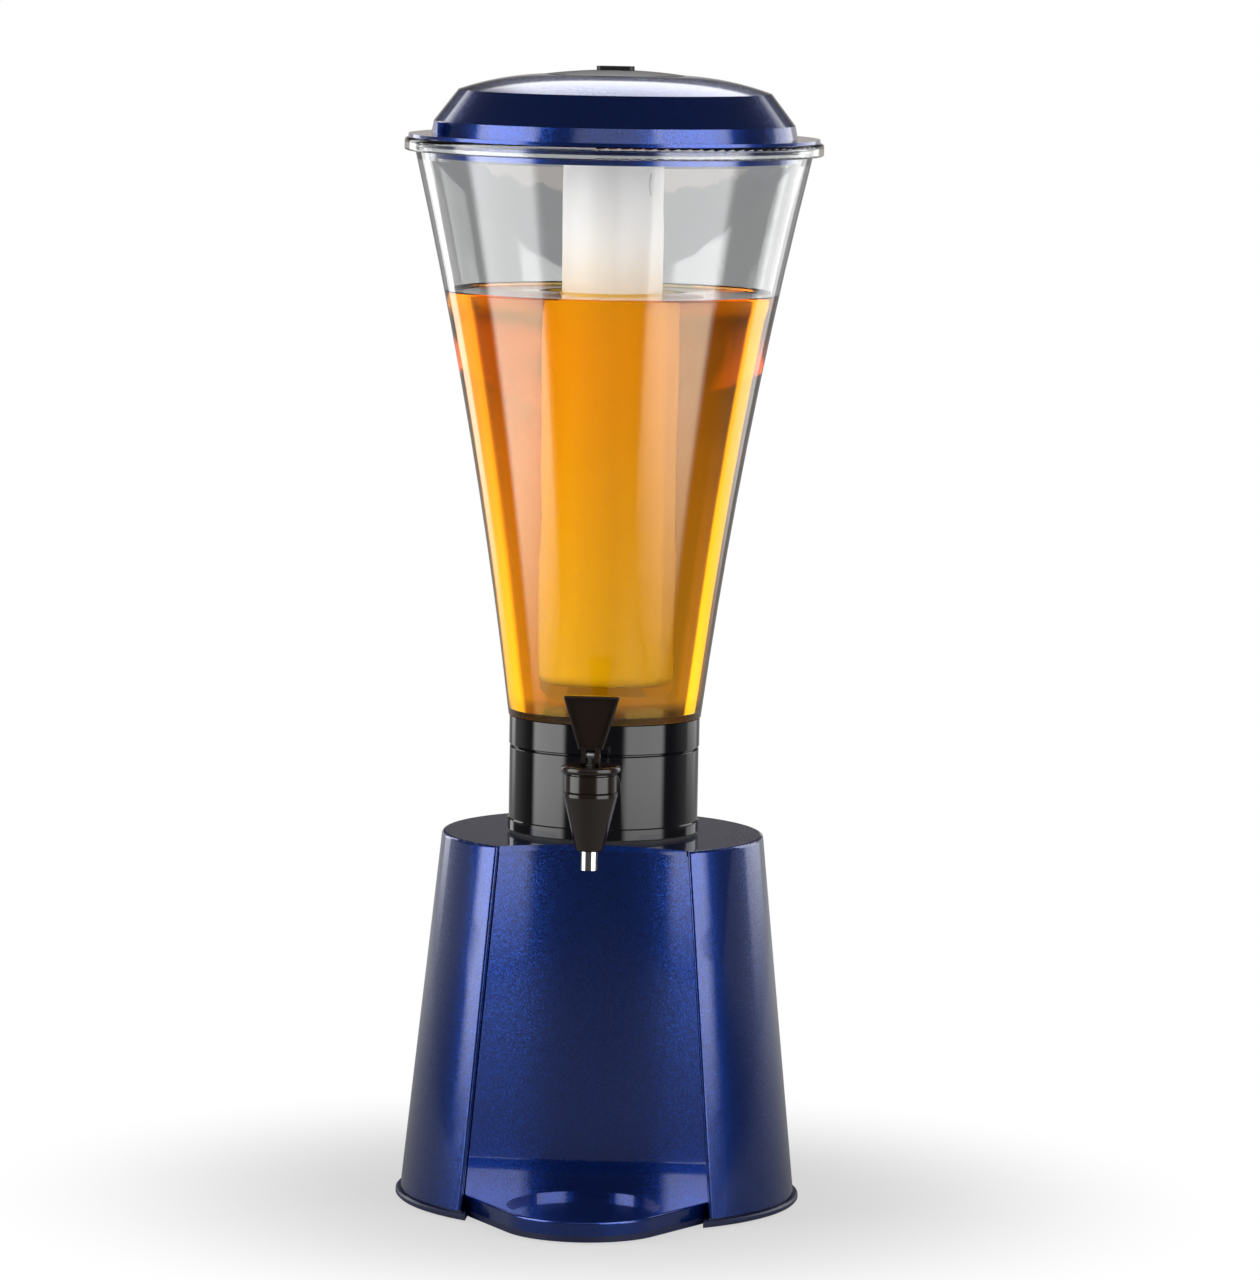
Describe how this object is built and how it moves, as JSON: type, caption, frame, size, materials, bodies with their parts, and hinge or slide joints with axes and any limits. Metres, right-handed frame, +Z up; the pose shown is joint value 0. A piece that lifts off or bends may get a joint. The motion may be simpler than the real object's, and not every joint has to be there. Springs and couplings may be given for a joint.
{
  "type": "beer tower dispenser",
  "caption": "Table-top drink tower: flared clear barrel with lid and ice tube on a bayed base, filled into a glass through a lever tap.",
  "frame": {"origin": "tower's axis at the level of the feet's undersides, on the surface that the dispenser stands on", "axes": "+Z up along the tower, -Y towards the tap and the drinker, +X to the right of someone who faces the tap"},
  "size_m": [0.22, 0.2453, 0.6005],
  "materials": {
    "base_blue": "gloss, metallic flake",
    "plate_black": "fine satin",
    "foot_rubber": "matt",
    "screw_steel": "zinc plated",
    "tank_black": "gloss",
    "seal_rubber": "soft, translucent grey",
    "barrel_clear": "clear, polished",
    "lid_blue": "gloss, metallic flake",
    "tube_frost": "translucent, frosted",
    "cap_black": "satin",
    "tap_black": "gloss",
    "spout_steel": "polished",
    "valve_steel": "plain"
  },
  "bodies": {
    "tower": {"rubber_feet": "foot_rubber", "bottom_plate": "plate_black", "base_screws": "screw_steel", "base_shell": "base_blue", "front_panel": "base_blue", "base_tray": "base_blue", "neck_gasket": "seal_rubber", "neck_nut": "plate_black", "tap_collar": "tank_black", "collar_ring": "tank_black", "barrel_seal": "seal_rubber", "barrel": "barrel_clear", "tap_body": "tap_black", "spout_tube": "spout_steel", "shank_washer_outer": "seal_rubber", "shank_washer_inner": "seal_rubber", "shank_nut": "tap_black", "tap_bonnet": "tap_black", "valve_spring": "valve_steel"},
    "stem": {"valve_stem": "valve_steel", "seat_cup": "seal_rubber"},
    "lever": {"tap_lever": "tap_black", "lever_pin": "valve_steel"},
    "lid": {"lid": "lid_blue", "lid_seal": "seal_rubber"},
    "ice_tube": {"ice_tube": "tube_frost"},
    "cap": {"tube_cap": "cap_black", "cap_oring": "seal_rubber"}
  },
  "joints": [
    {"name": "stem_lift", "type": "slide", "parent": "tower", "child": "stem", "axis": [0, 0, 1], "range_m": [0, 0.004], "deforming": ["valve_spring"]},
    {"name": "lever_tilt", "type": "hinge", "parent": "stem", "child": "lever", "pos_m": [0, -0.0915, 0.2477], "axis": [1, 0, 0], "range_deg": [0, 45], "stiffness_Nm_per_rad": 0.01, "springref_deg": -17.19},
    {"name": "lid_lift", "type": "slide", "parent": "tower", "child": "lid", "axis": [0, 0, 1], "range_m": [0, 0.3]},
    {"name": "tube_lift", "type": "slide", "parent": "lid", "child": "ice_tube", "axis": [0, 0, 1], "range_m": [0, 0.32]},
    {"name": "cap_lift", "type": "slide", "parent": "ice_tube", "child": "cap", "axis": [0, 0, 1], "range_m": [0, 0.04]}
  ],
  "couplings": [
    {"joint": "stem_lift", "follows": "lever_tilt", "m_per_rad": 0.0050929}
  ]
}
